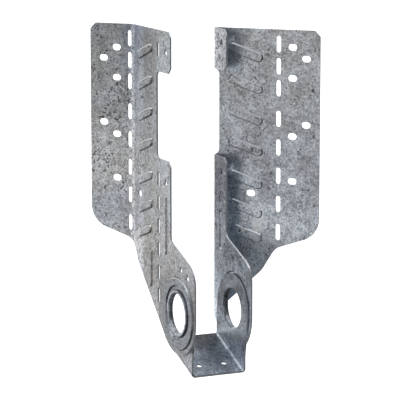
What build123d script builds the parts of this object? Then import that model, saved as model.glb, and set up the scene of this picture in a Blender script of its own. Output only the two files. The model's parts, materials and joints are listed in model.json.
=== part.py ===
from build123d import *

import math
import os

os.makedirs("parts", exist_ok=True)

# A sloped and skewed joist hanger in galvanised sheet: two side plates that are
# nailed to the header and to the joist, and a U-shaped seat hung between them on
# two rolled eyelets. Millimetres, +X along the header, +Y into it, +Z up. The
# origin lies on the back of the right header flange, in the middle of its face.

# Driving sizes
JOIST_WIDTH = 39.7
SHEET = 1.27
SKEW = 45.0
LEFT_INNER_BEND = 0.6
RUNNING_GAP = 0.05
BEND_BAND = 3.7
BEND_LAP = 0.02
LEFT_CORNER_RADIUS = 12.0

PIVOT_BEHIND_EDGE = 34.9
PIVOT_BELOW_TOP = 199.5
PANEL_WIDTH = 48.0
FLANGE_WIDTH = 31.1
WALL_STRIP = 21.1

TAB_BOTTOM = 29.8
STRIP_TOP = 92.4
STRIP_BOTTOM = 149.3
NOTCH_DEPTH = 2.9
NOTCH_RADIUS = 4.4
TAB_CHAMFER = 3.8
FLANGE_CHAMFER = 4.2

TONGUE_REACH = 28.8
TONGUE_DROP = 30.2
TONGUE_SLOPE = 0.375
TONGUE_SHOULDER_RADIUS = 16.0
TONGUE_BACK_RADIUS = 31.0
DIAGONAL_SLOPE = 0.955
DIAGONAL_AT_FOLD = 210.0
FLANGE_FOOT_RADIUS = 17.0
FLANGE_FOOT_SLOPE = 0.345
FLANGE_FOOT_AT = (58.0, 154.9)
THROAT = (46.0, 159.0)
THROAT_RADIUS = 13.0
THROAT_FOOT = (35.8, 175.8)
THROAT_FOOT_RADIUS = 20.0

SLOT_WIDTH = 3.7
HEADER_SLOT_LENGTH = 11.8
HEADER_SLOTS = (10.6, 26.45, 42.3, 64.4, 85.05, 105.7, 126.3, 146.9)
JOIST_SLOT_LENGTH = 11.5
JOIST_SLOTS = (14.4, 108.0, 125.05, 142.1, 159.1, 176.15, 193.2)

NAIL_LENGTH = 6.8
NAIL_WIDTH = 4.7
NAIL_STAGGER = 5.0
NAIL_INNER_COLUMN = 10.5
NAIL_OUTER_COLUMN = 20.8
HEADER_NAILS_INNER = (12.5, 34.7, 76.6, 109.2)
HEADER_NAILS_OUTER = (20.5, 68.0)
JOIST_NAIL_COLUMN = 13.1
JOIST_NAILS = (8.85, 102.6)
LEFT_TONGUE_NAILS = ((39.5, 161.3), (50.8, 165.0))
RIGHT_TONGUE_NAILS = ((33.6, 162.3), (46.0, 164.5))
WALL_NAIL_SIDE = 6.2
WALL_NAIL_CORNER = 0.7
LEFT_PANEL_NAIL = (33.5, 123.4)
RIGHT_PANEL_NAIL = (27.2, 119.5)

RIB_WIDTH = 7.0
RIB_HEIGHT = 1.2
RIB_DRAFT = 35.0
RIB_TILT = 18.5
RIB_CENTRE = 23.2
RIB_SPAN = 27.4
RIBS = (17.4, 40.3, 63.2, 85.6, 109.7, 130.8)
LAST_RIB = (24.4, 149.3, 24.8)
BEAD_WIDTH = 4.4
BEAD_HEIGHT = 0.9
PANEL_BEAD = (14.0, 161.5, 189.5)
STRIP_BEAD = (12.6, 117.5, 160.9)

RING_OUTER_RADIUS = 26.6
RING_INNER_RADIUS = 19.8
RING_HEIGHT = 1.1
EYELET_RADIUS = 14.2
EYELET_WALL = 0.9
EYELET_CURL = 1.65
EYELET_ENTRY = 1.4
CURL_FLATS = 6
HOLLOW_FLATS = 3
ENTRY_FLATS = 3
EYELET_CLEARANCE = 0.07

SEAT_TILT = 20.7
SEAT_DEPTH = 31.6
SEAT_FRONT = 20.5
SEAT_BACK = 26.4
SEAT_HEAD_RADIUS = 25.2
SEAT_BEND = 1.3
SEAT_NAIL_RADIUS = 1.95
SEAT_NAIL_SPACING = 19.4
SEAT_NAIL_INSET = 12.1
SEAT_NAIL_OFFSET = -0.4

ORIGIN_ON_FLANGE = 16.0
ORIGIN_BELOW_TOP = 75.0

# Derived sizes
half = SHEET / 2
wall_x = JOIST_WIDTH / 2 + SHEET + RUNNING_GAP + half
top_z = ORIGIN_BELOW_TOP
pivot_z = top_z - PIVOT_BELOW_TOP
tall = PIVOT_BELOW_TOP + 2 * TONGUE_DROP
skew = math.radians(SKEW)


def turned(heading):
    """Unit vector in plan, the heading in degrees from the joist's length."""
    return (math.sin(math.radians(heading)), math.cos(math.radians(heading)))


# Plan of the right plate in the joist's own axes, the pivot at (0, 0): its wall
# strip runs along the joist and the panel is folded round to the header plane.
right_fold = 180.0 - SKEW
fold_radius = BEND_BAND / math.radians(right_fold)
fold_tangent = fold_radius * math.tan(math.radians(right_fold) / 2)
right_corner = (wall_x, PIVOT_BEHIND_EDGE - BEND_BAND / 2 + fold_tangent)
right_way = turned(right_fold)
header_offset = right_corner[0] * math.sin(skew) + right_corner[1] * math.cos(skew)

# Plan of the left plate: nearly straight past its slots, then turned to the same
# header plane round a soft corner. The corner's place follows from that plane.
left_fold = SKEW - LEFT_INNER_BEND
left_way = turned(-LEFT_INNER_BEND)
soft_radius = BEND_BAND / math.radians(LEFT_INNER_BEND)
left_corner = (-wall_x, PIVOT_BEHIND_EDGE)
left_panel = (header_offset + wall_x * math.sin(skew) - PIVOT_BEHIND_EDGE * math.cos(skew)) / (
    left_way[0] * math.sin(skew) + left_way[1] * math.cos(skew)
)
header_corner = (
    left_corner[0] + left_way[0] * left_panel,
    left_corner[1] + left_way[1] * left_panel,
)
corner_arc = LEFT_CORNER_RADIUS * math.radians(left_fold)

# The joist's axes turned into the header's
flange_start = PANEL_WIDTH - BEND_BAND / 2 + fold_tangent
origin_plan = (
    right_corner[0] + right_way[0] * (flange_start + ORIGIN_ON_FLANGE) + math.sin(skew) * half,
    right_corner[1] + right_way[1] * (flange_start + ORIGIN_ON_FLANGE) + math.cos(skew) * half,
)


def to_frame(point):
    """A plan point of the joist's axes as seen in the header's."""
    x = point[0] - origin_plan[0]
    y = point[1] - origin_plan[1]
    return (
        x * math.cos(skew) - y * math.sin(skew),
        x * math.sin(skew) + y * math.cos(skew),
    )


def way_in_frame(way):
    """A plan direction of the joist's axes as seen in the header's."""
    return (
        way[0] * math.cos(skew) - way[1] * math.sin(skew),
        way[0] * math.sin(skew) + way[1] * math.cos(skew),
    )


def sheet_plane(point, way, side):
    """Middle plane of a flat zone: u runs across the sheet, v up, w outwards.

    The zone's slot line or corner is at u = 0 and the sheet's top edge at v = 0.
    """
    x, y = to_frame(point)
    dx, dy = way_in_frame(way)
    across = Vector(side * dx, side * dy, 0)
    outward = Vector(side * dy, -side * dx, 0)
    return Plane(origin=(x, y, top_z), x_dir=across, z_dir=outward)


# The cut-out shape shared by both plates, u measured from the joist slots
pivot_u = -PIVOT_BEHIND_EDGE
flange_edge = PANEL_WIDTH + FLANGE_WIDTH
foot_u, foot_v = FLANGE_FOOT_AT
tongue_front = pivot_u - TONGUE_REACH
tongue_bottom = PIVOT_BELOW_TOP + TONGUE_DROP
shoulder = STRIP_BOTTOM + TONGUE_SLOPE * (-WALL_STRIP - tongue_front)
heel = (DIAGONAL_AT_FOLD - tongue_bottom) / DIAGONAL_SLOPE

with BuildSketch() as pattern:
    with BuildLine():
        Polyline(
            (-WALL_STRIP, 0),
            (flange_edge, 0),
            (flange_edge, -(foot_v - FLANGE_FOOT_SLOPE * (flange_edge - foot_u))),
            (THROAT[0], -THROAT[1]),
            (THROAT_FOOT[0], -THROAT_FOOT[1]),
            (heel, -tongue_bottom),
            (tongue_front, -tongue_bottom),
            (tongue_front, -shoulder),
            (-WALL_STRIP, -STRIP_BOTTOM),
            (-WALL_STRIP, -STRIP_TOP),
            (NOTCH_DEPTH, -STRIP_TOP),
            (NOTCH_DEPTH, -TAB_BOTTOM),
            (-WALL_STRIP, -TAB_BOTTOM),
            close=True,
        )
    make_face()

    def corner(u, v):
        """The pattern's corner nearest to a point."""
        return pattern.vertices().sort_by_distance((u, v, 0))[0]

    fillet(corner(flange_edge, -foot_v), radius=FLANGE_FOOT_RADIUS)
    fillet(corner(THROAT[0], -THROAT[1]), radius=THROAT_RADIUS)
    fillet(corner(THROAT_FOOT[0], -THROAT_FOOT[1]), radius=THROAT_FOOT_RADIUS)
    fillet(corner(heel, -tongue_bottom), radius=TONGUE_BACK_RADIUS)
    fillet(corner(tongue_front, -tongue_bottom), radius=TONGUE_REACH)
    fillet(corner(tongue_front, -shoulder), radius=TONGUE_SHOULDER_RADIUS)
    fillet(corner(-WALL_STRIP, -STRIP_BOTTOM), radius=NOTCH_RADIUS)
    fillet(corner(NOTCH_DEPTH, -STRIP_TOP), radius=NOTCH_RADIUS)
    fillet(corner(NOTCH_DEPTH, -TAB_BOTTOM), radius=NOTCH_RADIUS)
    chamfer(corner(flange_edge, 0), length=FLANGE_CHAMFER)
    chamfer(corner(-WALL_STRIP, 0), length=TAB_CHAMFER)
    chamfer(corner(-WALL_STRIP, -TAB_BOTTOM), length=TAB_CHAMFER)
    chamfer(corner(-WALL_STRIP, -STRIP_TOP), length=TAB_CHAMFER)


def zone(plane, side, start, end, shift):
    """Part of the pattern between two lines, laid on a flat zone's plane."""
    with BuildSketch(mode=Mode.PRIVATE) as piece:
        add(pattern.sketch)
        with Locations(((start + end) / 2, -tall / 2)):
            Rectangle(end - start, tall * 2, mode=Mode.INTERSECT)
    flat = piece.sketch.moved(Location((shift, 0, 0)))
    if side < 0:
        flat = flat.mirror(Plane.YZ)
    return [plane.from_local_coords(face) for face in flat.faces()]


def bend_wedge(point, way_in, way_out, radius, side):
    """Plan sector of a bend between two flat zones, the mid-line at `radius`."""
    angle = math.acos(way_in[0] * way_out[0] + way_in[1] * way_out[1])
    tangent = radius * math.tan(angle / 2)
    first = (point[0] - way_in[0] * tangent, point[1] - way_in[1] * tangent)
    normal = (side * way_in[1], -side * way_in[0])
    centre = (first[0] + normal[0] * radius, first[1] + normal[1] * radius)
    last = (point[0] + way_out[0] * tangent, point[1] + way_out[1] * tangent)
    out_normal = (side * way_out[1], -side * way_out[0])
    inner_r = radius - half
    outer_r = radius + half

    def on_arc(centre_point, unit, r):
        return (centre_point[0] - unit[0] * r, centre_point[1] - unit[1] * r)

    mid = (normal[0] + out_normal[0], normal[1] + out_normal[1])
    size = math.hypot(mid[0], mid[1])
    mid = (mid[0] / size, mid[1] / size)
    a1 = to_frame(on_arc(centre, normal, outer_r))
    a2 = to_frame(on_arc(centre, mid, outer_r))
    a3 = to_frame(on_arc(centre, out_normal, outer_r))
    b1 = to_frame(on_arc(centre, normal, inner_r))
    b2 = to_frame(on_arc(centre, mid, inner_r))
    b3 = to_frame(on_arc(centre, out_normal, inner_r))
    with BuildSketch(Plane.XY.offset(top_z - tall), mode=Mode.PRIVATE) as wedge:
        with BuildLine():
            ThreePointArc(a1, a2, a3)
            Line(a3, b3)
            ThreePointArc(b3, b2, b1)
            Line(b1, a1)
        make_face()
    facing = way_in_frame((mid[0], mid[1]))
    middle = to_frame(on_arc(centre, mid, radius))
    along = Vector(-facing[1], facing[0], 0)
    bend_plane = Plane(
        origin=(middle[0], middle[1], top_z),
        x_dir=along,
        z_dir=Vector(facing[0], facing[1], 0),
    )
    return wedge.sketch.faces(), bend_plane, first, last, tangent


# Bends of the right plate and of the left one
right_wedge, right_bend, right_first, right_last, _ = bend_wedge(
    right_corner, (0.0, 1.0), right_way, fold_radius, 1
)
soft_wedge, soft_bend, soft_first, soft_last, soft_tangent = bend_wedge(
    left_corner, (0.0, 1.0), left_way, soft_radius, -1
)
turn_wedge, turn_bend, _, turn_last, turn_tangent = bend_wedge(
    header_corner, left_way, turned(-SKEW), LEFT_CORNER_RADIUS, -1
)

half_band = BEND_BAND / 2
right_wall = sheet_plane(right_first, (0.0, 1.0), 1)
right_panel = sheet_plane(right_last, right_way, 1)
left_wall = sheet_plane(soft_first, (0.0, 1.0), -1)
left_panel_plane = sheet_plane(soft_last, left_way, -1)
left_flange = sheet_plane(turn_last, turned(-SKEW), -1)

# u of the zone borders, measured along the developed sheet
turn_start = half_band + (left_panel - soft_tangent - turn_tangent)
turn_end = turn_start + corner_arc
turn_middle = (turn_start + turn_end) / 2


def bend_piece(wedge, plane, side, middle, reach, depth):
    """A bend's plan sector cut to the pattern's outline."""
    with BuildPart(mode=Mode.PRIVATE) as piece:
        extrude(wedge, amount=tall)
        extrude(
            zone(plane, side, middle - reach, middle + reach, -middle),
            amount=depth,
            both=True,
            mode=Mode.INTERSECT,
        )
    return piece.part


def slots(plane, heights, length, shift):
    """Upright bend slots cut in one line."""
    with BuildSketch(plane, mode=Mode.PRIVATE) as row:
        with Locations([(shift, -h) for h in heights]):
            SlotOverall(length, SLOT_WIDTH, rotation=90)
    return row.sketch.faces()


def nails(plane, points):
    """Level nail holes, longer than they are high."""
    with BuildSketch(plane, mode=Mode.PRIVATE) as row:
        with Locations([(u, -v) for u, v in points]):
            SlotOverall(NAIL_LENGTH, NAIL_WIDTH)
    return row.sketch.faces()


def wall_nails(plane, points):
    """Three-cornered nail holes, one corner up."""
    height = WALL_NAIL_SIDE * math.sin(math.radians(60))
    with BuildSketch(plane, mode=Mode.PRIVATE) as row:
        with Locations([(u, -v - height / 6) for u, v in points]):
            RegularPolygon(2 * height / 3, 3, rotation=90)
        fillet(row.vertices(), radius=WALL_NAIL_CORNER)
    return row.sketch.faces()


def ribs(plane, side, shift, level):
    """Slanting ribs of a panel, rising towards the joist."""
    with BuildSketch(plane.offset(level), mode=Mode.PRIVATE) as row:
        with Locations([(side * (RIB_CENTRE + shift), -h) for h in RIBS]):
            SlotOverall(RIB_SPAN, RIB_WIDTH, rotation=-side * RIB_TILT)
        with Locations((side * (LAST_RIB[0] + shift), -LAST_RIB[1])):
            SlotOverall(LAST_RIB[2], RIB_WIDTH, rotation=-side * RIB_TILT)
    return row.sketch.faces()


def bead(plane, u, upper, lower, level):
    """An upright stiffening bead."""
    with BuildSketch(plane.offset(level), mode=Mode.PRIVATE) as row:
        with Locations((u, -(upper + lower) / 2)):
            SlotOverall(lower - upper, BEAD_WIDTH, rotation=90)
    return row.sketch.faces()


def ring_profile(plane, side, level):
    """Half section of the raised ring round an eyelet."""
    flank = RING_HEIGHT * math.tan(math.radians(RIB_DRAFT))
    middle = plane.from_local_coords(Vector(side * (pivot_u + half_band), -PIVOT_BELOW_TOP, level))
    section = Plane(origin=middle, x_dir=Vector(0, 0, 1), z_dir=plane.x_dir)
    out = 1 if section.y_dir.dot(plane.z_dir) > 0 else -1
    with BuildSketch(section, mode=Mode.PRIVATE) as ring:
        with BuildLine():
            Polyline(
                (RING_INNER_RADIUS, 0),
                (RING_INNER_RADIUS + flank, out * RING_HEIGHT),
                (RING_OUTER_RADIUS - flank, out * RING_HEIGHT),
                (RING_OUTER_RADIUS, 0),
                close=True,
            )
        make_face()
    return ring.sketch.faces(), Axis(middle, plane.z_dir)


def eyelet_hole(plane, side):
    """Round hole that turns on the seat's eyelet."""
    with BuildSketch(plane, mode=Mode.PRIVATE) as hole:
        with Locations((side * (pivot_u + half_band), -PIVOT_BELOW_TOP)):
            Circle(EYELET_RADIUS + EYELET_WALL + EYELET_CLEARANCE)
    return hole.sketch.faces()


# Nail holes of the two plates: one pattern, the left set lower by the stagger
header_nails = [(NAIL_INNER_COLUMN, h) for h in HEADER_NAILS_INNER]
header_nails += [(NAIL_OUTER_COLUMN, h) for h in HEADER_NAILS_OUTER]
joist_nails = [(-JOIST_NAIL_COLUMN, h) for h in JOIST_NAILS]

flange_nails = PANEL_WIDTH - half_band
turn_angle = math.degrees((PANEL_WIDTH - turn_middle) / LEFT_CORNER_RADIUS)
turn_centre = turn_bend.origin + turn_bend.z_dir * LEFT_CORNER_RADIUS
turn_slots = Plane(
    origin=turn_centre - turn_bend.z_dir.rotate(Axis.Z, turn_angle) * LEFT_CORNER_RADIUS,
    x_dir=turn_bend.x_dir.rotate(Axis.Z, turn_angle),
    z_dir=turn_bend.z_dir.rotate(Axis.Z, turn_angle),
)

right_fold_piece = bend_piece(
    right_wedge, right_bend, 1, 0, fold_radius + half + BEND_LAP, 3 * fold_radius
)
soft_piece = bend_piece(soft_wedge, soft_bend, -1, 0, half_band + BEND_LAP / 2, SHEET)
turn_piece = bend_piece(
    turn_wedge, turn_bend, -1, turn_middle, corner_arc / 2 + half, LEFT_CORNER_RADIUS / 2
)

# Cutters reach past both faces of the sheet, and zones past its free edges
cut = Mode.SUBTRACT
through = 1.5 * SHEET
front_end = tongue_front - SHEET
back_end = flange_edge + SHEET
both_faces = ((half, Mode.ADD), (-half, cut))

with BuildPart() as right_plate:
    extrude(zone(right_wall, 1, front_end, -half_band, half_band), amount=half, both=True)
    extrude(zone(right_panel, 1, half_band, back_end, -half_band), amount=half, both=True)
    add(right_fold_piece)
    # ribs, beads and the ring round the eyelet, pressed towards the outer face
    for level, mode in both_faces:
        extrude(ribs(right_panel, 1, -half_band, level),
                amount=RIB_HEIGHT, taper=RIB_DRAFT, mode=mode)
        extrude(bead(right_panel, PANEL_BEAD[0] - half_band, PANEL_BEAD[1], PANEL_BEAD[2], level),
                amount=BEAD_HEIGHT, taper=RIB_DRAFT, mode=mode)
        extrude(bead(right_wall, half_band - STRIP_BEAD[0], STRIP_BEAD[1], STRIP_BEAD[2], level),
                amount=BEAD_HEIGHT, taper=RIB_DRAFT, mode=mode)
        ring_face, ring_axis = ring_profile(right_wall, 1, level)
        revolve(ring_face, axis=ring_axis, mode=mode)
    extrude(eyelet_hole(right_wall, 1), amount=through, both=True, mode=cut)
    # bend slots, then nail holes
    extrude(slots(right_panel, HEADER_SLOTS, HEADER_SLOT_LENGTH, flange_nails),
            amount=through, both=True, mode=cut)
    extrude(slots(right_bend, JOIST_SLOTS, JOIST_SLOT_LENGTH, 0),
            amount=2 * fold_radius, both=True, mode=cut)
    extrude(nails(right_panel, [(flange_nails + u, v) for u, v in header_nails]),
            amount=through, both=True, mode=cut)
    extrude(nails(right_panel, [(RIGHT_PANEL_NAIL[0] - half_band, RIGHT_PANEL_NAIL[1])]),
            amount=through, both=True, mode=cut)
    extrude(wall_nails(right_wall, [(u + half_band, v) for u, v in joist_nails]),
            amount=through, both=True, mode=cut)
    extrude(wall_nails(right_wall, [(half_band - u, v) for u, v in RIGHT_TONGUE_NAILS]),
            amount=through, both=True, mode=cut)
right_plate.part.label = "right_plate"

with BuildPart() as left_plate:
    extrude(zone(left_wall, -1, front_end, -half_band, half_band), amount=half, both=True)
    extrude(zone(left_panel_plane, -1, half_band, turn_start, -half_band), amount=half, both=True)
    extrude(zone(left_flange, -1, turn_end, back_end, -turn_end), amount=half, both=True)
    add(soft_piece)
    add(turn_piece)
    # ribs, beads and the ring round the eyelet, pressed towards the outer face
    for level, mode in both_faces:
        extrude(ribs(left_panel_plane, -1, -half_band, level),
                amount=RIB_HEIGHT, taper=RIB_DRAFT, mode=mode)
        extrude(bead(left_panel_plane, half_band - PANEL_BEAD[0],
                     PANEL_BEAD[1], PANEL_BEAD[2], level),
                amount=BEAD_HEIGHT, taper=RIB_DRAFT, mode=mode)
        extrude(bead(left_wall, STRIP_BEAD[0] - half_band, STRIP_BEAD[1], STRIP_BEAD[2], level),
                amount=BEAD_HEIGHT, taper=RIB_DRAFT, mode=mode)
        ring_face, ring_axis = ring_profile(left_wall, -1, level)
        revolve(ring_face, axis=ring_axis, mode=mode)
    extrude(eyelet_hole(left_wall, -1), amount=through, both=True, mode=cut)
    # bend slots, then nail holes, all nails lower than on the right plate
    extrude(slots(turn_slots, HEADER_SLOTS, HEADER_SLOT_LENGTH, 0),
            amount=2 * through, both=True, mode=cut)
    extrude(slots(soft_bend, JOIST_SLOTS, JOIST_SLOT_LENGTH, 0),
            amount=through, both=True, mode=cut)
    extrude(nails(left_flange, [(turn_end - PANEL_WIDTH - u, v + NAIL_STAGGER)
                                for u, v in header_nails]),
            amount=through, both=True, mode=cut)
    extrude(nails(left_panel_plane, [(half_band - LEFT_PANEL_NAIL[0], LEFT_PANEL_NAIL[1])]),
            amount=through, both=True, mode=cut)
    extrude(wall_nails(left_wall, [(-half_band - u, v + NAIL_STAGGER) for u, v in joist_nails]),
            amount=through, both=True, mode=cut)
    extrude(wall_nails(left_wall, [(u - half_band, v + NAIL_STAGGER)
                                   for u, v in LEFT_TONGUE_NAILS]),
            amount=through, both=True, mode=cut)
left_plate.part.label = "left_plate"

# The seat in the joist's own axes, the pivot at its middle: a channel bent along
# the slope, its walls trimmed to round heads about the pivot.
tilt = math.radians(SEAT_TILT)
pivot_frame = Vector(*to_frame((0.0, 0.0)), pivot_z)
joist_x = Vector(*way_in_frame((1.0, 0.0)), 0)
joist_y = Vector(*way_in_frame((0.0, 1.0)), 0)
floor_way = joist_y * math.cos(tilt) + Vector(0, 0, math.sin(tilt))
floor_up = Vector(0, 0, math.cos(tilt)) - joist_y * math.sin(tilt)
seat_half = JOIST_WIDTH / 2
across_pivot = Plane(origin=pivot_frame, x_dir=joist_y, z_dir=joist_x)
along_floor = Plane(origin=pivot_frame, x_dir=joist_x, z_dir=-floor_way)
floor_top = Plane(origin=pivot_frame - floor_up * SEAT_DEPTH, x_dir=joist_x, z_dir=floor_up)
wall_section = Plane(
    origin=pivot_frame + joist_x * seat_half, x_dir=Vector(0, 0, 1), z_dir=joist_y
)
channel_height = SEAT_DEPTH + 2 * SEAT_HEAD_RADIUS
seat_foot = -2 * SEAT_DEPTH
nail_row = (-SEAT_FRONT - SEAT_DEPTH * math.sin(tilt)) / math.cos(tilt) + SEAT_NAIL_INSET

# Section of an eyelet, radius across and height out from the wall's inner face:
# the wall is drawn out through the plate's hole and rolled back over its rim.
curl_base = 2 * SHEET + 2 * RUNNING_GAP
curl_centre = EYELET_RADIUS + EYELET_CURL
curl_hollow = EYELET_CURL - EYELET_WALL
tube_outer = EYELET_RADIUS + EYELET_WALL


def round_points(centre, radius, start, end, flats):
    """Points on an arc, angles in degrees from the way the radius grows."""
    return [
        (
            centre[0] + radius * math.cos(math.radians(start + (end - start) * step / flats)),
            centre[1] + radius * math.sin(math.radians(start + (end - start) * step / flats)),
        )
        for step in range(flats + 1)
    ]


entry_centre = (EYELET_RADIUS + EYELET_ENTRY, EYELET_ENTRY)
with BuildPart() as eyelet:
    with BuildSketch(wall_section):
        with BuildLine():
            Polyline(
                *round_points(entry_centre, EYELET_ENTRY, 270, 180, ENTRY_FLATS),
                *round_points((curl_centre, curl_base), EYELET_CURL, 180, 0, CURL_FLATS),
                *round_points((curl_centre, curl_base), curl_hollow, 0, 180, HOLLOW_FLATS),
                (tube_outer, SHEET),
                (tube_outer + EYELET_ENTRY, SHEET),
                (tube_outer + EYELET_ENTRY, 0),
                close=True,
            )
        make_face()
    revolve(axis=Axis(pivot_frame, joist_x))

with BuildPart() as seat:
    with BuildSketch(along_floor):
        with Locations((0, channel_height / 2 - SEAT_DEPTH - SHEET)):
            RectangleRounded(JOIST_WIDTH + 2 * SHEET, channel_height, SEAT_BEND + SHEET)
        with Locations((0, channel_height / 2 - SEAT_DEPTH + SHEET)):
            RectangleRounded(JOIST_WIDTH, channel_height + 2 * SHEET, SEAT_BEND, mode=cut)
    extrude(amount=2 * SEAT_BACK, both=True)
    with BuildSketch(across_pivot):
        Circle(SEAT_HEAD_RADIUS)
        with BuildLine():
            Polyline(
                (-SEAT_HEAD_RADIUS, 0),
                (-SEAT_FRONT, -SEAT_DEPTH),
                (-SEAT_FRONT, seat_foot),
                (SEAT_BACK, seat_foot),
                (SEAT_BACK, -SEAT_DEPTH / 2),
                (SEAT_HEAD_RADIUS, 0),
                close=True,
            )
        make_face()
    extrude(amount=wall_x, both=True, mode=Mode.INTERSECT)
    with BuildSketch(across_pivot):
        Circle((EYELET_RADIUS + tube_outer) / 2 + EYELET_ENTRY)
    extrude(amount=wall_x, both=True, mode=cut)
    add(eyelet.part)
    mirror(eyelet.part, about=across_pivot)
    with BuildSketch(floor_top):
        with Locations((SEAT_NAIL_OFFSET, nail_row)):
            with GridLocations(SEAT_NAIL_SPACING, 0, 2, 1):
                Circle(SEAT_NAIL_RADIUS)
    extrude(amount=-through, mode=cut)
seat.part.label = "seat"

for built in (right_plate, left_plate, seat):
    print(built.part.label, built.part.volume, built.part.is_valid, len(built.solids()))

export_step(right_plate.part, "parts/right_plate.step")
export_step(left_plate.part, "parts/left_plate.step")
export_step(seat.part, "parts/seat.step")
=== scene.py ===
# %% [markdown]
# # A skewed joist hanger in galvanised sheet
#
# The real thing is three pieces of zinc-coated steel: two tall side plates and a
# short U-shaped seat that swivels between them on rolled eyelets. Their shape is
# settled already, so this lesson is about how the zinc looks: dull and mottled,
# with dark specks and fine scratches, and bright where a face turns towards the
# light and where a painted highlight lies on a rim. Some zones also hold painted
# light and shade.

# %% Load the imported model
import json
import math

import bpy
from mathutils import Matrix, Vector


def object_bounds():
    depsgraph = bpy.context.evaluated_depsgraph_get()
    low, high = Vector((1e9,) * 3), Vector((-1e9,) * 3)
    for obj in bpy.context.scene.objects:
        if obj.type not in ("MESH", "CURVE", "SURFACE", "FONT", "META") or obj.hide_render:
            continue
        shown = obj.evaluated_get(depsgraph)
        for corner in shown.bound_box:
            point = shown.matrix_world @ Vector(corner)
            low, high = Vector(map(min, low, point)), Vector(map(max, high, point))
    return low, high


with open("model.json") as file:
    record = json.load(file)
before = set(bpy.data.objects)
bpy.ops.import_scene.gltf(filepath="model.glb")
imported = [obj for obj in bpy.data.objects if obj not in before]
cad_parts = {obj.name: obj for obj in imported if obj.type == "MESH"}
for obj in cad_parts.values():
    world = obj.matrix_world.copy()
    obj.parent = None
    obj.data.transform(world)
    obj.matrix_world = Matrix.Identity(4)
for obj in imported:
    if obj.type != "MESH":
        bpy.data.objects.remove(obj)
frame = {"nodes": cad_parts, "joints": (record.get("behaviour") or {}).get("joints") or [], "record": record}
nodes = frame["nodes"]
cad_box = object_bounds()
print("pieces:", sorted(nodes))
print("box of the model, mm:", [[round(c * 1000, 1) for c in corner] for corner in cad_box])

# %% [markdown]
# ## The camera
#
# The hanger was photographed from its front right and a little above, from about
# 1.7 m with a long lens. A camera in Blender looks along its own -Z, so the view
# direction is turned into a rotation with `to_track_quat`. The picture is square,
# and the lens is given for a sensor 36 mm wide.

# %% Camera
CAMERA_PLACE = Vector((0.52005, -1.58430, 0.24697))
CAMERA_WAY = Vector((-0.34694, 0.92159, -0.17408))
LENS_MM = 211.75
SENSOR_MM = 36.0
FAR_CLIP = 50.0

camera_data = bpy.data.cameras.new("camera")
camera_data.lens = LENS_MM
camera_data.sensor_width = SENSOR_MM
camera_data.clip_end = FAR_CLIP
camera = bpy.data.objects.new("camera", camera_data)
camera.location = CAMERA_PLACE
camera.rotation_euler = CAMERA_WAY.to_track_quat("-Z", "Y").to_euler()
bpy.context.collection.objects.link(camera)
bpy.context.scene.camera = camera
print("camera", [round(c, 3) for c in camera.location], "lens", LENS_MM, "mm")

# %% [markdown]
# ## Small helpers for node trees
#
# A material is a graph of nodes. These helpers make a node with its inputs and
# link it in one call, so that the graphs below read from the top down. A value
# that is a socket of another node is linked, and any other value is typed in.

# %% Helpers for single nodes
MM_PER_M = 1000.0
# The Mix node lists its colour sockets after those for numbers and vectors.
MIX_UNDER = 6
MIX_OVER = 7
MIX_RESULT = 2


def feed(tree, socket, value):
    """Links a socket to another one, or types a value into it."""
    if isinstance(value, bpy.types.NodeSocket):
        tree.links.new(value, socket)
    else:
        socket.default_value = value


def make(tree, kind, **inputs):
    """A node of one kind, with its inputs given by name."""
    node = tree.nodes.new(kind)
    for name, value in inputs.items():
        feed(tree, node.inputs[name.replace("_", " ")], value)
    return node


def calc(tree, operation, *values):
    """One step of arithmetic with numbers."""
    node = tree.nodes.new("ShaderNodeMath")
    node.operation = operation
    for socket, value in zip(node.inputs, values):
        feed(tree, socket, value)
    return node.outputs["Value"]


def vector_calc(tree, operation, *values):
    """One step of arithmetic with vectors, which gives a vector or a number."""
    node = tree.nodes.new("ShaderNodeVectorMath")
    node.operation = operation
    for socket, value in zip(node.inputs, values):
        feed(tree, socket, value)
    gives_number = operation in ("DOT_PRODUCT", "LENGTH", "DISTANCE")
    return node.outputs["Value" if gives_number else "Vector"]


def ramp(tree, value, low, high, to_low=0.0, to_high=1.0):
    """A soft step: to_low under low, to_high over high, eased between them."""
    node = tree.nodes.new("ShaderNodeMapRange")
    node.interpolation_type = "SMOOTHSTEP"
    for socket, number in zip(node.inputs, (value, low, high, to_low, to_high)):
        feed(tree, socket, number)
    return node.outputs["Result"]


def tint(tree, amount, under, over, blend="MIX"):
    """One colour laid over another by an amount from 0 to 1."""
    node = tree.nodes.new("ShaderNodeMix")
    node.data_type = "RGBA"
    node.blend_type = blend
    feed(tree, node.inputs["Factor"], amount)
    feed(tree, node.inputs[MIX_UNDER], under)
    feed(tree, node.inputs[MIX_OVER], over)
    return node.outputs[MIX_RESULT]


print("helpers for single nodes ready")


# %% Helpers for groups
def new_group(name, numbers, outputs):
    """An empty shader group that takes a place and named numbers and puts out numbers."""
    group = bpy.data.node_groups.new(name, "ShaderNodeTree")
    group.interface.new_socket("Place", in_out="INPUT", socket_type="NodeSocketVector")
    for label, value in numbers:
        socket = group.interface.new_socket(label, in_out="INPUT", socket_type="NodeSocketFloat")
        socket.default_value = value
    for label in outputs:
        group.interface.new_socket(label, in_out="OUTPUT", socket_type="NodeSocketFloat")
    return group, group.nodes.new("NodeGroupInput"), group.nodes.new("NodeGroupOutput")


def use_group(tree, group, **inputs):
    """The group as a node of a material, with its own values."""
    node = tree.nodes.new("ShaderNodeGroup")
    node.node_tree = group
    for name, value in inputs.items():
        feed(tree, node.inputs[name], value)
    return node


def per_metre(tree, millimetres):
    """A texture scale that gives features of a size in millimetres."""
    return calc(tree, "DIVIDE", MM_PER_M, millimetres)


print("helpers for groups ready")

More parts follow.
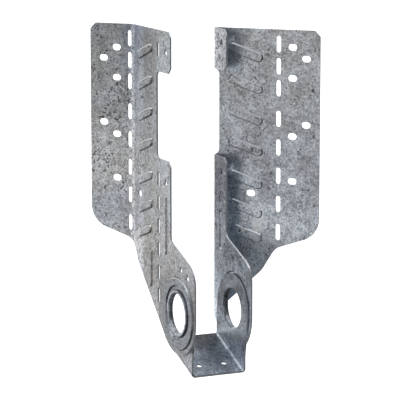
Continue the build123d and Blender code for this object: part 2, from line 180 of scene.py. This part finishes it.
# %% [markdown]
# ## Zinc grain
#
# Hot-dip zinc freezes in crystals, and on thin sheet they are small: a cell of
# two or three millimetres, each a shade lighter or darker than the next. Over
# them lie broad clouds where the coat is thicker. Voronoi cells give the
# crystals, and two noises give the clouds and the fine dust-like grain. A
# picture of zinc would show its seams at the folds, but a texture in space runs
# on over them. The group puts out one number about 0.5, which the material
# turns into a colour, and the clouds by themselves.

# %% Zinc grain group
MIDDLE_SHADE = 0.5
NOISE_MIDDLE = 0.5
CLOUD_WEIGHT = 0.7
CELL_WEIGHT = 0.40
GRAIN_WEIGHT = 2.1

zinc_grain, gate_in, gate_out = new_group(
    "zinc_grain",
    [("Cloud mm", 20.0), ("Cell mm", 2.4), ("Grain mm", 1.5)],
    ["Shade", "Cloud"],
)
clouds = make(
    zinc_grain,
    "ShaderNodeTexNoise",
    Vector=gate_in.outputs["Place"],
    Scale=per_metre(zinc_grain, gate_in.outputs["Cloud mm"]),
    Detail=3.0,
    Roughness=0.6,
)
cells = make(
    zinc_grain,
    "ShaderNodeTexVoronoi",
    Vector=gate_in.outputs["Place"],
    Scale=per_metre(zinc_grain, gate_in.outputs["Cell mm"]),
)
cell_shade = make(zinc_grain, "ShaderNodeSeparateColor", Color=cells.outputs["Color"])
grain = make(
    zinc_grain,
    "ShaderNodeTexNoise",
    Vector=gate_in.outputs["Place"],
    Scale=per_metre(zinc_grain, gate_in.outputs["Grain mm"]),
    Detail=2.0,
    Roughness=0.6,
)
shade = MIDDLE_SHADE
for value, weight in (
    (clouds.outputs["Fac"], CLOUD_WEIGHT),
    (cell_shade.outputs["Red"], CELL_WEIGHT),
    (grain.outputs["Fac"], GRAIN_WEIGHT),
):
    about_zero = calc(zinc_grain, "SUBTRACT", value, NOISE_MIDDLE)
    shade = calc(zinc_grain, "MULTIPLY_ADD", about_zero, weight, shade)
zinc_grain.links.new(shade, gate_out.inputs["Shade"])
zinc_grain.links.new(clouds.outputs["Fac"], gate_out.inputs["Cloud"])
print("group", zinc_grain.name, "with", len(zinc_grain.nodes), "nodes")

# %% [markdown]
# ## Specks and scratches
#
# The coat has dark specks about a millimetre across, in swarms that follow
# slanting streaks, and short curved scratches. A fine noise has its highest peaks
# cut off, which gives flecks of many shapes, and a broad stretched noise lowers
# the cut along the streaks, as the material does inside its swarms.

# %% Specks of the wear marks group
SPECK_CUT = 0.70
SPECK_SOFT = 0.05
SWARM_DROP = 0.16
STREAK_DROP = 0.08
STREAK_SPAN = (0.48, 0.66)
STREAKS_PER_M = 110.0
STREAK_TURN = (0.0, 0.8, 0.0)
STREAK_STRETCH = (1.0, 1.0, 0.4)

wear_marks, gate_in, gate_out = new_group(
    "wear_marks",
    [("Swarm", 0.0), ("Speck mm", 1.7), ("Scratch share", 0.42)],
    ["Specks", "Scratches"],
)
place = gate_in.outputs["Place"]
flecks = make(
    wear_marks,
    "ShaderNodeTexNoise",
    Vector=place,
    Scale=per_metre(wear_marks, gate_in.outputs["Speck mm"]),
    Detail=1.0,
    Roughness=0.5,
    Distortion=0.6,
)
streak_place = make(
    wear_marks, "ShaderNodeMapping", Vector=place, Rotation=STREAK_TURN, Scale=STREAK_STRETCH
)
streaks = make(
    wear_marks,
    "ShaderNodeTexNoise",
    Vector=streak_place.outputs["Vector"],
    Scale=STREAKS_PER_M,
    Detail=2.0,
)
streak_drop = ramp(wear_marks, streaks.outputs["Fac"], *STREAK_SPAN, 0.0, STREAK_DROP)
swarm_drop = calc(wear_marks, "MULTIPLY", gate_in.outputs["Swarm"], SWARM_DROP)
cut = calc(wear_marks, "SUBTRACT", SPECK_CUT, streak_drop)
cut = calc(wear_marks, "SUBTRACT", cut, swarm_drop)
cut_top = calc(wear_marks, "ADD", cut, SPECK_SOFT)
specks = ramp(wear_marks, flecks.outputs["Fac"], cut, cut_top)
wear_marks.links.new(specks, gate_out.inputs["Specks"])
print("specks made with", len(wear_marks.nodes), "nodes")

# %% [markdown]
# A scratch is where a stretched noise crosses its middle value, a thin line that
# wanders. A second noise keeps the lines in patches, because lines all over
# would look like cloth. The share says how much of the sheet is scratched.

# %% Scratches of the wear marks group
SCRATCHES_PER_M = 230.0
SCRATCH_TURN = (0.3, 0.9, 0.2)
SCRATCH_STRETCH = (1.0, 1.0, 0.35)
SCRATCH_GAP = (0.004, 0.020)
SCRATCH_PATCHES_PER_M = 95.0
PATCH_SOFT = 0.08

line_place = make(
    wear_marks, "ShaderNodeMapping", Vector=place, Rotation=SCRATCH_TURN, Scale=SCRATCH_STRETCH
)
lines = make(
    wear_marks,
    "ShaderNodeTexNoise",
    Vector=line_place.outputs["Vector"],
    Scale=SCRATCHES_PER_M,
    Detail=1.5,
)
line_gap = calc(wear_marks, "SUBTRACT", lines.outputs["Fac"], NOISE_MIDDLE)
line_gap = calc(wear_marks, "ABSOLUTE", line_gap)
thin = ramp(wear_marks, line_gap, *SCRATCH_GAP, 1.0, 0.0)
line_patch = make(
    wear_marks, "ShaderNodeTexNoise", Vector=place, Scale=SCRATCH_PATCHES_PER_M, Detail=2.0
)
patch_low = calc(wear_marks, "SUBTRACT", 1.0, gate_in.outputs["Scratch share"])
patch_high = calc(wear_marks, "ADD", patch_low, PATCH_SOFT)
line_mask = ramp(wear_marks, line_patch.outputs["Fac"], patch_low, patch_high)
scratches = calc(wear_marks, "MULTIPLY", thin, line_mask)
wear_marks.links.new(scratches, gate_out.inputs["Scratches"])
print("group", wear_marks.name, "with", len(wear_marks.nodes), "nodes")

# %% [markdown]
# ## Where the finish and the painted light change
#
# The sheets aren't one even grey. Each flange runs from dark at its top to bluish
# and pale at its foot, painted light on the right plate and partly painted light
# and shade on the left, the wall strips are darker, with painted shade along the
# right one, and the seat's floor has painted shade at its back. Each of these is a
# gradient along one line, given by stops of millimetres and the share of light that
# is left there, and each keeps to one zone of the sheet. The lines are the joist's
# own axes, the header's and the height, read from Object coordinates, so they stay
# with the sheet. The swivel and the seat's face, which come with the model, give
# the joist's way and the floor's tilt. Painting by hand would give the same look,
# but a gradient can be read and changed.

# %% Lines and zones
swivel = frame["joints"][0]
faces = {mount["name"]: mount["axis"] for mount in frame["record"]["mounts"]}
PIVOT = tuple(swivel["pos_m"])
JOIST_RIGHT = tuple(swivel["axis"])
JOIST_BACK = (-JOIST_RIGHT[1], JOIST_RIGHT[0], 0.0)
HEADER_RIGHT = (1.0, 0.0, 0.0)
HEADER_BACK = (0.0, 1.0, 0.0)
UP = (0.0, 0.0, 1.0)
FLOOR_UP = tuple(faces["seat_top"])
SEAT_SLANT = (-0.1867, 0.1867, 1.0)
SHOULDER_SLANT = (0.2652, -0.2652, 1.0)


def measure(tree, spot, where):
    """Millimetres along a line through the origin, or out from the pivot's axis."""
    if where != "pivot":
        return vector_calc(tree, "DOT_PRODUCT", spot, tuple(MM_PER_M * part for part in where))
    arm = vector_calc(tree, "SUBTRACT", spot, PIVOT)
    across = vector_calc(tree, "CROSS_PRODUCT", arm, JOIST_RIGHT)
    return calc(tree, "MULTIPLY", vector_calc(tree, "LENGTH", across), MM_PER_M)


def between(tree, value, low, high, soft):
    """1 between two values, fading out over a soft width."""
    rise = ramp(tree, value, low - soft, low + soft)
    fall = ramp(tree, value, high - soft, high + soft, 1.0, 0.0)
    return calc(tree, "MULTIPLY", rise, fall)


def inside(tree, spot, zone):
    """1 inside a zone, which is a line, its low and high end in mm and a soft width."""
    where, low, high, soft = zone
    return between(tree, measure(tree, spot, where), low, high, soft)


def gradient(tree, spot, line, stops):
    """A colour along a line, from stops of (millimetres, colour), lowest first."""
    low, high = stops[0][0], stops[-1][0]
    value = ramp(tree, measure(tree, spot, line), low, high)
    value.node.interpolation_type = "LINEAR"
    band = make(tree, "ShaderNodeValToRGB", Fac=value)
    band.color_ramp.interpolation = "EASE"
    points = band.color_ramp.elements
    for place_mm, _ in stops[1:-1]:
        points.new((place_mm - low) / (high - low))
    for point, (_, colour) in zip(points, stops):
        point.color = (*colour, 1.0)
    return band.outputs["Color"]


def one_tone(colour):
    """The stops of a zone that has the same colour all over."""
    return [(0.0, colour), (1.0, colour)]


print("pivot at", PIVOT, "and the floor faces", FLOOR_UP)

# %% [markdown]
# ## Edges, ribs and the ring
#
# Sheared edges show bare, darker steel. An edge is where the surface turns away
# from the plane of its own sheet, so the mask compares the normal with the way
# that sheet faces, zone by zone. The pressed ribs catch the light along their
# upper side, and that light is painted on. Their places are known, so each rib is
# a stadium round its middle line, and a band at a set distance from that line is
# its rim, for the painted highlight, or its flank, for the painted grey. A bevel
# would catch the light itself, but the model's mesh is left as it is.

# %% Masks for edges, ribs and swarms
EDGE_TURN = (0.30, 0.45)
RIB_LEVELS = (57.6, 34.7, 11.8, -10.6, -34.7, -55.8, -74.3)
RIB_TILT = math.radians(18.5)
RIB_CENTRE = 23.2
RIB_STRAIGHT = 10.2
RIB_RIM = (2.0, 2.7)
RIB_FLANK = (2.6, 3.6)
RIB_UPPER = (1.0, 2.0)
RING_RIM = (25.2, 25.6)
# Painted highlights keep to the top of the ring and fade out low down on the ribs.
RING_HIGHLIGHT_TOP = (-103.0, -99.5)
RIM_SOFT = 0.2
HIGHLIGHT_FADE = (-80.0, 20.0, 0.4, 1.0)
SWARM_CORE = 0.3


def cut_edges(tree, spot, rules):
    """1 where a sheet's surface turns away from the way its zone faces."""
    normal = tree.nodes.new("ShaderNodeTexCoord").outputs["Normal"]
    edge = 0.0
    for zone, facing in rules:
        turn = calc(tree, "ABSOLUTE", vector_calc(tree, "DOT_PRODUCT", normal, facing))
        away = ramp(tree, turn, *EDGE_TURN, 1.0, 0.0)
        edge = calc(tree, "MAXIMUM", edge, calc(tree, "MULTIPLY", away, inside(tree, spot, zone)))
    return edge


def rib_bands(tree, spot, panel, band):
    """1 on a band along the upper side of each rib of a panel, given as (line, slots' mm)."""
    line, slots_mm = panel
    rib_way = (-math.cos(RIB_TILT), math.sin(RIB_TILT), 0.0)
    rib_side = (math.sin(RIB_TILT), math.cos(RIB_TILT), 0.0)
    across = calc(tree, "SUBTRACT", measure(tree, spot, line), slots_mm + RIB_CENTRE)
    height = measure(tree, spot, UP)
    bands = 0.0
    for level_mm in RIB_LEVELS:
        rise = calc(tree, "SUBTRACT", height, level_mm)
        flat = make(tree, "ShaderNodeCombineXYZ", X=across, Y=rise).outputs["Vector"]
        lengthways = vector_calc(tree, "DOT_PRODUCT", flat, rib_way)
        above = vector_calc(tree, "DOT_PRODUCT", flat, rib_side)
        past = calc(tree, "SUBTRACT", calc(tree, "ABSOLUTE", lengthways), RIB_STRAIGHT)
        past = calc(tree, "MAXIMUM", past, 0.0)
        arm = make(tree, "ShaderNodeCombineXYZ", X=past, Y=above).outputs["Vector"]
        strip = between(tree, vector_calc(tree, "LENGTH", arm), *band, RIM_SOFT)
        strip = calc(tree, "MULTIPLY", strip, ramp(tree, above, *RIB_UPPER))
        bands = calc(tree, "MAXIMUM", bands, strip)
    return bands


def painted_rim_highlights(tree, spot, panel):
    """Where the painted highlight goes: 1 on the rims of a panel's ribs, less so low down, and on the ring's
    rim at its top.
    """
    height = measure(tree, spot, UP)
    rims = rib_bands(tree, spot, panel, RIB_RIM)
    rims = calc(tree, "MULTIPLY", rims, ramp(tree, height, *HIGHLIGHT_FADE))
    ring = between(tree, measure(tree, spot, "pivot"), *RING_RIM, RIM_SOFT)
    ring = calc(tree, "MULTIPLY", ring, ramp(tree, height, *RING_HIGHLIGHT_TOP))
    return calc(tree, "MAXIMUM", rims, ring)


def speck_swarm(tree, spot, floor, swarms, zone):
    """How thick the specks are: a floor, and soft round swarms of (centre, radius, share)."""
    swarm = floor
    for centre, radius, share in swarms:
        middle = tuple(part / MM_PER_M for part in centre)
        reach = radius / MM_PER_M
        away = vector_calc(tree, "DISTANCE", spot, middle)
        patch = calc(tree, "MULTIPLY", ramp(tree, away, reach * SWARM_CORE, reach, 1.0, 0.0), share)
        swarm = calc(tree, "MAXIMUM", swarm, patch)
    if zone:
        swarm = calc(tree, "MULTIPLY", swarm, inside(tree, spot, zone))
    return swarm


print("masks ready for", len(RIB_LEVELS), "ribs on each panel")

# %% [markdown]
# ## The zinc finish
#
# Zinc that has weathered a little is a metal with a fairly blurred reflection.
# The grain and the zones set its colour, and some zones hold painted light and
# shade. The specks and scratches lie over it as dull grey. Painted highlights make
# the rims of the ribs and the top of the ring bright, the upper flanks of the ribs
# get a painted grey for the light on them, and sheared edges are darker, save one
# lit edge where a painted highlight runs. The grain also moves the roughness a
# little, and an edge is less of a mirror. Each piece gets its own zones and its
# own swarms of specks through one function.

# %% Finish function
ZINC_DARK = (0.36, 0.365, 0.375, 1.0)
ZINC_LIGHT = (1.0, 1.0, 1.0, 1.0)
MARK_COLOUR = (0.05, 0.05, 0.055, 1.0)
EDGE_COLOUR = (0.47, 0.50, 0.54, 1.0)
# Painted highlight colour, for the rims and for one lit edge.
HIGHLIGHT_COLOUR = (1.00, 1.00, 1.00, 1.0)
# Painted grey for the upper flanks of the ribs, for the light that falls on them.
PAINTED_FLANK_TONE = (0.54, 0.55, 0.57, 1.0)
WARM_PATCH = (1.005, 1.00, 0.985, 1.0)
COOL_PATCH = (0.98, 1.00, 1.03, 1.0)
HUE_SPAN = (0.38, 0.62)
MOTTLE_SPAN = (0.36, 0.64)
MOTTLE_BLUE = 0.85
SPECK_WEIGHT = 0.85
SCRATCH_WEIGHT = 0.55
HIGHLIGHT_WEIGHT = 0.85
METAL_FACE = 0.9
METAL_EDGE = 0.50
SHADE_SPAN = (0.2, 0.8)
ROUGH_DARK = 0.40
ROUGH_LIGHT = 0.30
BUMP_STRENGTH = 0.10
BUMP_DEPTH = 0.0002


def mottled(tree, colour, cloud, depth):
    """Darkens the colour where the clouds are thin, and turns it a little bluer there."""
    patches = ramp(tree, cloud, *MOTTLE_SPAN, 1.0 - depth, 1.0)
    blue = calc(tree, "POWER", patches, MOTTLE_BLUE)
    patch = make(tree, "ShaderNodeCombineColor", Red=patches, Green=patches, Blue=blue)
    return tint(tree, 1.0, colour, patch.outputs["Color"], "MULTIPLY")


def zinc(name, zones, edges, swarm_floor=0.0, swarms=(), swarm_zone=None,
         mottle=0.0, rim_highlights=None, painted_flanks=None, edge_highlight=None):
    """A galvanised finish with one piece's own zones, edges and swarms, and its painted highlights and flank
    grey.
    """
    material = bpy.data.materials.new(name)
    material.use_nodes = True
    tree = material.node_tree
    tree.nodes.clear()
    spot = tree.nodes.new("ShaderNodeTexCoord").outputs["Object"]
    swarm = speck_swarm(tree, spot, swarm_floor, swarms, swarm_zone)
    skin = use_group(tree, zinc_grain, Place=spot)
    marks = use_group(tree, wear_marks, Place=spot, Swarm=swarm)

    colour = tint(tree, skin.outputs["Shade"], ZINC_DARK, ZINC_LIGHT)
    for zone, line, stops in zones:
        share = gradient(tree, spot, line, stops)
        colour = tint(tree, inside(tree, spot, zone), colour, share, "MULTIPLY")
    if mottle:
        colour = mottled(tree, colour, skin.outputs["Cloud"], mottle)
    hue = ramp(tree, skin.outputs["Cloud"], *HUE_SPAN)
    colour = tint(tree, 1.0, colour, tint(tree, hue, WARM_PATCH, COOL_PATCH), "MULTIPLY")

    speck_dirt = calc(tree, "MULTIPLY", marks.outputs["Specks"], SPECK_WEIGHT)
    scratch_dirt = calc(tree, "MULTIPLY", marks.outputs["Scratches"], SCRATCH_WEIGHT)
    dirt = calc(tree, "MAXIMUM", speck_dirt, scratch_dirt)
    colour = tint(tree, dirt, colour, MARK_COLOUR)
    # Painted highlights on the rims of the ribs and the ring.
    if rim_highlights:
        rims = calc(tree, "MULTIPLY", painted_rim_highlights(tree, spot, rim_highlights), HIGHLIGHT_WEIGHT)
        colour = tint(tree, rims, colour, HIGHLIGHT_COLOUR)
    # Painted grey on the upper flanks of the ribs.
    if painted_flanks:
        colour = tint(tree, rib_bands(tree, spot, painted_flanks, RIB_FLANK), colour, PAINTED_FLANK_TONE)
    edge = cut_edges(tree, spot, edges)
    colour = tint(tree, edge, colour, EDGE_COLOUR)
    # Painted highlight along one lit sheared edge.
    if edge_highlight:
        bright = edge
        for zone in edge_highlight:
            bright = calc(tree, "MULTIPLY", bright, inside(tree, spot, zone))
        colour = tint(tree, bright, colour, HIGHLIGHT_COLOUR)

    bump = make(
        tree,
        "ShaderNodeBump",
        Strength=BUMP_STRENGTH,
        Distance=BUMP_DEPTH,
        Height=skin.outputs["Shade"],
    )
    shader = make(
        tree,
        "ShaderNodeBsdfPrincipled",
        Base_Color=colour,
        Metallic=ramp(tree, edge, 0.0, 1.0, METAL_FACE, METAL_EDGE),
        Roughness=ramp(tree, skin.outputs["Shade"], *SHADE_SPAN, ROUGH_DARK, ROUGH_LIGHT),
        Normal=bump.outputs["Normal"],
    )
    out = tree.nodes.new("ShaderNodeOutputMaterial")
    tree.links.new(shader.outputs["BSDF"], out.inputs["Surface"])
    return material


def dress(name, material):
    """Puts one material on a piece."""
    piece = nodes[name]
    piece.data.materials.clear()
    piece.data.materials.append(material)
    print(name, "wears", material.name, "with", len(material.node_tree.nodes), "nodes")


print("finish function ready")

# %% [markdown]
# ## The left plate
#
# Its wall and ribbed panel lie in one plane along the joist, and its flange is
# turned outwards against the header. The flange is the mottled part: brownish,
# dark and full of specks at its top, bluish and pale at its foot, a tone that is
# partly the zinc's own and partly painted light and shade. The ribs and the ring
# round the eyelet get painted highlights on their rims.

# %% Left plate's finish
LEFT_SLOTS = 44.2
# Tones along the height, partly the zinc's own and partly painted light and shade.
LEFT_ZONES = [
    # header flange
    ((HEADER_RIGHT, -170.0, -129.5, 0.6), UP, [
        (-95.0, (0.97, 0.99, 1.00)), (-62.0, (0.85, 0.88, 0.93)), (-28.0, (1.00, 1.00, 1.00)),
        (15.0, (0.74, 0.75, 0.76)), (40.0, (0.66, 0.67, 0.68)), (75.0, (0.54, 0.55, 0.56)),
    ]),
    # half of the panel next to the wall
    ((JOIST_BACK, LEFT_SLOTS, 71.0, 4.0), UP, [
        (-130.0, (0.66, 0.66, 0.67)), (-100.0, (0.56, 0.55, 0.54)), (-40.0, (0.72, 0.72, 0.71)),
        (10.0, (0.60, 0.61, 0.62)), (75.0, (0.50, 0.50, 0.51)),
    ]),
    # half of the panel next to the flange
    ((JOIST_BACK, 71.0, 95.0, 4.0), UP, [
        (-120.0, (0.92, 0.92, 0.96)), (-30.0, (0.98, 0.98, 1.00)), (20.0, (0.92, 0.95, 1.00)),
        (75.0, (0.68, 0.73, 0.84)),
    ]),
    # ring round the eyelet
    (("pivot", 19.0, 26.6, 0.5), UP, one_tone((0.88, 0.93, 1.00))),
    # wall and tongue
    ((JOIST_BACK, -60.0, LEFT_SLOTS, 0.6), UP, [
        (-150.0, (0.48, 0.49, 0.50)), (-112.0, (0.43, 0.43, 0.43)), (-90.0, (0.60, 0.60, 0.61)),
        (-72.0, (0.76, 0.76, 0.77)), (-45.0, (0.70, 0.72, 0.73)), (75.0, (0.64, 0.68, 0.69)),
    ]),
]
LEFT_EDGES = [
    ((JOIST_BACK, -60.0, 90.3, 0.3), JOIST_RIGHT),
    ((JOIST_BACK, 90.3, 130.0, 0.3), HEADER_BACK),
]
LEFT_SWARMS = [
    ((-136.0, -1.3, 24.0), 20.0, 0.9),
    ((-150.0, -1.3, 8.0), 20.0, 0.75),
    ((-157.0, -1.3, -22.0), 20.0, 0.85),
    ((-134.0, -1.3, -48.0), 14.0, 0.7),
    ((-140.0, -1.3, -76.0), 12.0, 0.5),
    ((-155.0, -1.3, 45.0), 18.0, 0.4),
]
left_zinc = zinc(
    "left_plate_zinc",
    LEFT_ZONES,
    LEFT_EDGES,
    swarm_floor=0.25,
    swarms=LEFT_SWARMS,
    rim_highlights=(JOIST_BACK, LEFT_SLOTS),
)
dress("left_plate", left_zinc)

# %% [markdown]
# ## The right plate
#
# Here the ribbed panel and the flange lie in one plane against the header, and the
# wall is turned back sharply, so the camera sees their inner side. The panel is
# even and its ribs are sunk, with a painted grey on their upper flanks. Its lower
# part has painted light, bluish and pale, and next to the fold painted light lifts
# the shade, save at the bottom, where painted shade darkens it. The wall has
# painted shade along its middle and painted light on the tab at its top. The
# specks gather on the wall. A painted highlight runs along the sheared edge at the
# shoulder, where the tongue widens.

# %% Right plate's finish
RIGHT_FOLD = -64.0
RIGHT_PAINTED_LIGHT_ZONES = [
    # wall and tongue: painted shade along the middle, painted light on the tab at the top
    ((JOIST_RIGHT, -60.0, -47.2, 0.3), UP, [
        (-150.0, (0.86, 0.90, 0.96)), (-128.0, (0.76, 0.77, 0.79)), (-98.0, (0.40, 0.41, 0.42)),
        (-25.0, (0.38, 0.39, 0.41)), (5.0, (1.06, 1.07, 1.09)), (75.0, (1.06, 1.07, 1.09)),
    ]),
    # panel and flange: painted light, bluish and pale, low down
    ((HEADER_RIGHT, -66.0, 20.0, 0.6), UP, [
        (-120.0, (1.42, 1.53, 1.66)), (-80.0, (1.24, 1.31, 1.41)), (-20.0, (0.85, 0.88, 0.93)),
        (30.0, (0.88, 0.90, 0.92)), (75.0, (0.87, 0.88, 0.89)),
    ]),
    # panel next to the fold: painted light that lifts its shade, with painted shade at the bottom
    ((JOIST_RIGHT, -42.0, -33.0, 4.0), UP, [
        (-120.0, (0.62, 0.70, 0.78)), (-78.0, (1.00, 1.10, 1.22)), (-26.0, (1.15, 1.26, 1.36)),
        (-14.0, (1.00, 1.00, 1.00)), (38.0, (1.00, 1.00, 1.00)), (50.0, (1.32, 1.46, 1.58)),
        (75.0, (1.32, 1.46, 1.58)),
    ]),
]
RIGHT_EDGES = [
    ((HEADER_BACK, -90.0, -3.2, 0.2), JOIST_RIGHT),
    ((HEADER_RIGHT, -62.5, 20.0, 0.3), HEADER_BACK),
]
RIGHT_SWARMS = [
    ((-56.0, -10.0, -50.0), 42.0, 0.9),
    ((-42.0, -25.0, -95.0), 32.0, 0.8),
    ((-42.0, -25.0, -142.0), 26.0, 0.6),
    ((-56.0, -10.0, 60.0), 26.0, 0.7),
]
RIGHT_WALL = (JOIST_RIGHT, -60.0, -46.3, 0.3)
# Where a painted highlight runs along the lit sheared edge of the shoulder.
SHOULDER_HIGHLIGHT = [
    (JOIST_BACK, -16.0, 26.0, 2.0),
    (SHOULDER_SLANT, -84.9, -80.0, 0.5),
]
right_zinc = zinc(
    "right_plate_zinc",
    RIGHT_PAINTED_LIGHT_ZONES,
    RIGHT_EDGES,
    swarms=RIGHT_SWARMS,
    swarm_zone=RIGHT_WALL,
    mottle=0.15,
    painted_flanks=(HEADER_RIGHT, RIGHT_FOLD),
    edge_highlight=SHOULDER_HIGHLIGHT,
)
dress("right_plate", right_zinc)

# %% [markdown]
# ## The seat
#
# The floor has painted shade at its back, under the joist's end, and the right
# wall's inner face has painted light at its foot, where it shows between the
# plates, and painted shade above. The rolled eyelets are bright on their lip, with
# painted shade in the groove round it.

# %% Seat's finish
# Painted shade in the groove round each eyelet's lip.
CURL_GROOVE_SHADE = [
    (14.0, (1.00, 1.00, 1.00)), (16.3, (1.00, 1.00, 1.00)), (17.0, (0.30, 0.31, 0.34)),
    (19.0, (0.25, 0.26, 0.28)),
]
SEAT_ZONES = [
    # floor: painted shade at its back
    ((FLOOR_UP, -160.0, -151.2, 0.3), JOIST_BACK, [
        (-12.0, (0.84, 0.89, 0.97)), (10.0, (0.50, 0.58, 0.66)), (36.0, (0.12, 0.12, 0.125)),
    ]),
    # walls
    ((FLOOR_UP, -151.2, -80.0, 0.3), UP, [
        (-160.0, (0.80, 0.84, 0.90)), (-95.0, (0.80, 0.84, 0.87)),
    ]),
    # right wall's inner face: painted light at its foot, painted shade above
    ((JOIST_RIGHT, -51.0, -48.4, 0.3), SEAT_SLANT, [
        (-170.0, (1.50, 1.52, 1.55)), (-143.5, (1.42, 1.44, 1.47)), (-134.0, (0.54, 0.56, 0.58)),
        (-95.0, (0.46, 0.47, 0.49)),
    ]),
    # left wall's outer face
    ((JOIST_RIGHT, -91.2, -89.5, 0.2), UP, one_tone((0.86, 0.82, 0.78))),
    # curls of the two eyelets: painted shade in the groove round the lip
    ((JOIST_RIGHT, -97.0, -91.0, 0.2), "pivot", CURL_GROOVE_SHADE),
    ((JOIST_RIGHT, -46.8, -40.0, 0.2), "pivot", CURL_GROOVE_SHADE),
]
SEAT_EDGES = [
    ((FLOOR_UP, -149.5, -135.5, 0.3), JOIST_RIGHT),
    (("pivot", 18.5, 30.6, 0.3), JOIST_RIGHT),
    ((FLOOR_UP, -160.0, -151.4, 0.2), FLOOR_UP),
]
seat_zinc = zinc("seat_zinc", SEAT_ZONES, SEAT_EDGES, swarm_floor=0.2, mottle=0.45)
dress("seat", seat_zinc)

# %% [markdown]
# ## Light
#
# The zinc is a metal, so it shows the room more than the lamps: its tone is the
# brightness of whatever lies where a face reflects to. Lamps alone would leave it
# black between their reflections. The room is a soft white studio instead, made
# by the world as a function of direction, told in the joist's own axes. It is
# bright behind and overhead, dimmer on the left, and nearly black low down in
# front on the right. The camera sees plain white, through Light Path, while the
# metal goes on reflecting the room. One wide weak lamp from above gives the soft
# shadow on the ground.

# %% Lamp
LAMP_PLACE = Vector((-0.5, -0.8, 1.9))
LAMP_AIM = Vector((-0.03, -0.03, -0.05))
LAMP_WIDTH = 1.6
LAMP_WATTS = 6.0

lamp_data = bpy.data.lights.new("top_lamp", "AREA")
lamp_data.size = LAMP_WIDTH
lamp_data.energy = LAMP_WATTS
lamp = bpy.data.objects.new("top_lamp", lamp_data)
lamp.location = LAMP_PLACE
lamp.rotation_euler = (LAMP_AIM - LAMP_PLACE).to_track_quat("-Z", "Y").to_euler()
bpy.context.collection.objects.link(lamp)
print("lamp", LAMP_WIDTH, "m wide at", [round(c, 2) for c in lamp.location])

# %% Studio room
ROOM_LEFT = 0.42
ROOM_FRONT = 0.03
ROOM_MIDDLE = 0.25
ROOM_BACK = 0.46
ROOM_SCREEN = 1.60
ROOM_LOW = 0.12
ROOM_TOP = 1.40
ROOM_ZENITH = 0.10
LEFT_SPAN = (-0.9, 0.1)
FRONT_SPAN = (-0.9, -0.2)
BACK_SPAN = (0.0, 0.95)
SCREEN_SPAN = (0.82, 1.0)
SCREEN_FOOT = (-0.06, 0.12)
LOW_SPAN = (-0.75, -0.25)
TOP_SPAN = (0.72, 0.9)
ZENITH_SPAN = (0.90, 1.0)

world = bpy.data.worlds.new("studio")
bpy.context.scene.world = world
world.use_nodes = True
sky = world.node_tree
sky.nodes.clear()
look = sky.nodes.new("ShaderNodeTexCoord").outputs["Generated"]
height = make(sky, "ShaderNodeSeparateXYZ", Vector=look).outputs["Z"]
rightwards = vector_calc(sky, "DOT_PRODUCT", look, JOIST_RIGHT)
backwards = vector_calc(sky, "DOT_PRODUCT", look, JOIST_BACK)
screen = ramp(sky, backwards, *SCREEN_SPAN, 0.0, ROOM_SCREEN)
screen = calc(sky, "MULTIPLY", screen, ramp(sky, height, *SCREEN_FOOT))
room = ramp(sky, rightwards, *LEFT_SPAN, ROOM_LEFT, 0.0)
for part in (
    ramp(sky, backwards, *FRONT_SPAN, ROOM_FRONT, ROOM_MIDDLE),
    ramp(sky, backwards, *BACK_SPAN, 0.0, ROOM_BACK),
    screen,
):
    room = calc(sky, "ADD", room, part)
room = calc(sky, "MULTIPLY", room, ramp(sky, height, *LOW_SPAN, ROOM_LOW, 1.0))
top = ramp(sky, height, *TOP_SPAN, 0.0, ROOM_TOP)
top = calc(sky, "MULTIPLY", top, ramp(sky, height, *ZENITH_SPAN, 1.0, ROOM_ZENITH))
room = calc(sky, "ADD", room, top)


def seen_plainly(tree):
    """1 for rays that come from the camera, straight or through something clear."""
    path = tree.nodes.new("ShaderNodeLightPath").outputs
    return calc(tree, "MAXIMUM", path["Is Camera Ray"], path["Is Transmission Ray"])


strength = make(sky, "ShaderNodeMix", Factor=seen_plainly(sky), A=room, B=1.0)
backdrop = make(
    sky, "ShaderNodeBackground", Color=(1.0, 1.0, 1.0, 1.0), Strength=strength.outputs[0]
)
sky_out = sky.nodes.new("ShaderNodeOutputWorld")
sky.links.new(backdrop.outputs["Background"], sky_out.inputs["Surface"])
print("room made with", len(sky.nodes), "nodes")

# %% [markdown]
# ## Ground
#
# The ground is far below, because the hanger hangs on its header. It is matte
# paper that glows a little for the camera only, so that it looks as white as the
# backdrop and keeps its soft shadow. The metal doesn't reflect it.

# %% Ground
GROUND_DROP = 0.30
GROUND_SIZE = 40.0
PAPER_COLOUR = (0.86, 0.86, 0.86, 1.0)
PAPER_GLOW = 0.75

ground_place = (0, 0, cad_box[0][2] - GROUND_DROP)
bpy.ops.mesh.primitive_plane_add(size=GROUND_SIZE, location=ground_place)
ground = bpy.context.object
ground.name = "ground"
ground.visible_glossy = False
paper = bpy.data.materials.new("white_paper")
paper.use_nodes = True
sheet = paper.node_tree
sheet.nodes.clear()
matte = make(sheet, "ShaderNodeBsdfDiffuse", Color=PAPER_COLOUR)
glow = make(sheet, "ShaderNodeEmission", Color=(1.0, 1.0, 1.0, 1.0), Strength=PAPER_GLOW)
lit = sheet.nodes.new("ShaderNodeAddShader")
sheet.links.new(matte.outputs["BSDF"], lit.inputs[0])
sheet.links.new(glow.outputs["Emission"], lit.inputs[1])
choice = make(sheet, "ShaderNodeMixShader", Fac=seen_plainly(sheet))
sheet.links.new(matte.outputs["BSDF"], choice.inputs[1])
sheet.links.new(lit.outputs["Shader"], choice.inputs[2])
paper_out = sheet.nodes.new("ShaderNodeOutputMaterial")
sheet.links.new(choice.outputs["Shader"], paper_out.inputs["Surface"])
ground.data.materials.append(paper)

bpy.context.scene.view_settings.view_transform = "Standard"
print("ground set", GROUND_DROP, "m below the hanger")

# %% End of the scene
print("scene set up")
